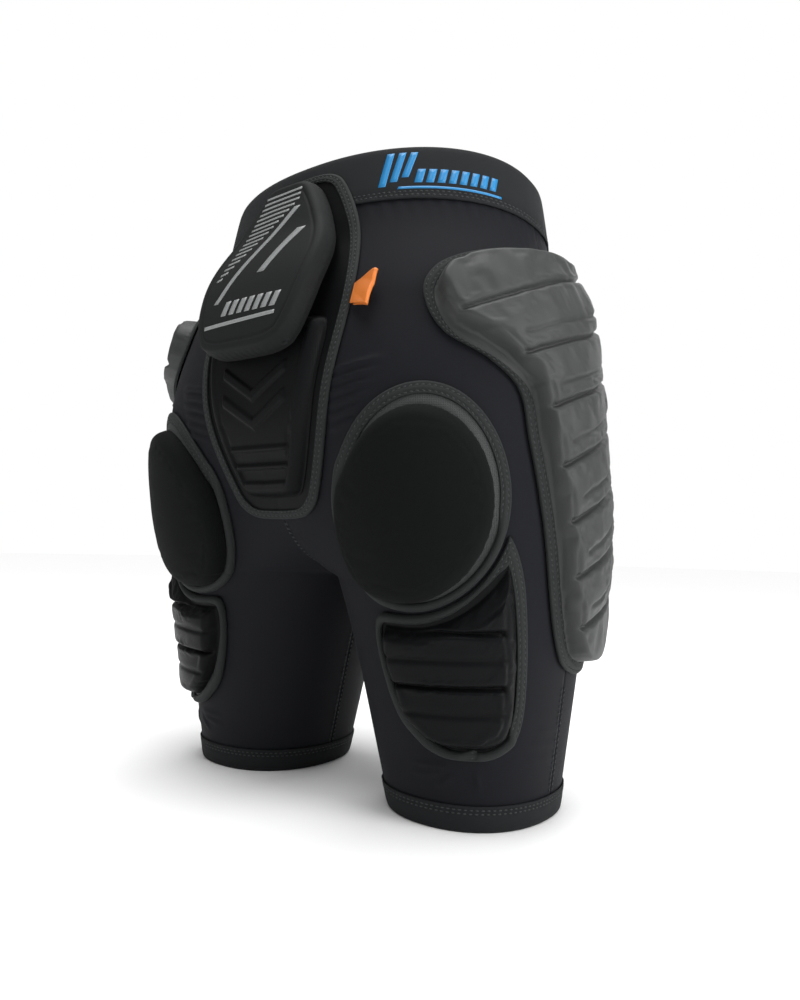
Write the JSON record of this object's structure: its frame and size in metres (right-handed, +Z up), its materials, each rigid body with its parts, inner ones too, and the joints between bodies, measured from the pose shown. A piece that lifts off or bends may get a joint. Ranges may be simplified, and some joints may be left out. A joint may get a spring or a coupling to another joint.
{
  "type": "padded impact shorts",
  "caption": "Pull-on stretch shorts with sewn-on foam protectors over tailbone, seat, hips and rear thighs, standing open on their leg hems.",
  "frame": {"origin": "on the plane of the two leg hems, midway between them, under the centre of the whole part's box", "axes": "+Z up to the waistband, -Y to the wearer's front, +X to the wearer's left"},
  "size_m": [0.3952, 0.247, 0.4663],
  "materials": {
    "shell_fabric": "fine stretch knit, matt",
    "band_fabric": "dense knit band, matt",
    "elastic": "woven elastic",
    "silicone": "translucent silicone gripper",
    "pad_fabric": "moulded stretch fabric, slight sheen",
    "hip_cover": "smooth moulded fabric, satin",
    "seat_mesh": "spacer mesh, matt",
    "lining_mesh": "mesh lining, matt",
    "guard_cover": "moulded fabric with printed bars",
    "binding": "stitched binding tape",
    "foam": "closed-cell foam",
    "tag_ribbon": "satin ribbon"
  },
  "bodies": {
    "shorts": {"back_panel_left": "shell_fabric", "back_panel_right": "shell_fabric", "front_panel_left": "shell_fabric", "front_panel_right": "shell_fabric", "waistband": "band_fabric", "waist_elastic": "elastic", "leg_hem_left": "band_fabric", "leg_hem_right": "band_fabric", "hem_gripper_left": "silicone", "hem_gripper_right": "silicone", "tailbone_backing": "pad_fabric", "tailbone_binding": "binding", "tailbone_pad_foam": "foam", "tailbone_pad_cover": "pad_fabric", "hip_lining_left": "lining_mesh", "hip_foam_left": "foam", "hip_cover_left": "hip_cover", "hip_binding_left": "binding", "hip_lining_right": "lining_mesh", "hip_foam_right": "foam", "hip_cover_right": "hip_cover", "hip_binding_right": "binding", "seat_lining_left": "lining_mesh", "seat_foam_left": "foam", "seat_cover_left": "seat_mesh", "seat_binding_left": "binding", "seat_lining_right": "lining_mesh", "seat_foam_right": "foam", "seat_cover_right": "seat_mesh", "seat_binding_right": "binding", "thigh_lining_left": "lining_mesh", "thigh_foam_left": "foam", "thigh_cover_left": "pad_fabric", "thigh_binding_left": "binding", "thigh_lining_right": "lining_mesh", "thigh_foam_right": "foam", "thigh_cover_right": "pad_fabric", "thigh_binding_right": "binding"},
    "tailbone_guard": {"guard_lining": "pad_fabric", "guard_foam": "foam", "guard_cover": "guard_cover"},
    "tag": {"tag_loop": "tag_ribbon"}
  },
  "joints": [
    {"name": "guard_flap", "type": "hinge", "parent": "shorts", "child": "tailbone_guard", "pos_m": [0, 0.0671, 0.4454], "axis": [1, 0, 0], "range_deg": [0, 25]},
    {"name": "tag_swing", "type": "hinge", "parent": "shorts", "child": "tag", "pos_m": [-0.07196, 0.08829, 0.35004], "axis": [0, -0.2889, 0.9573], "range_deg": [-75, 5]}
  ]
}
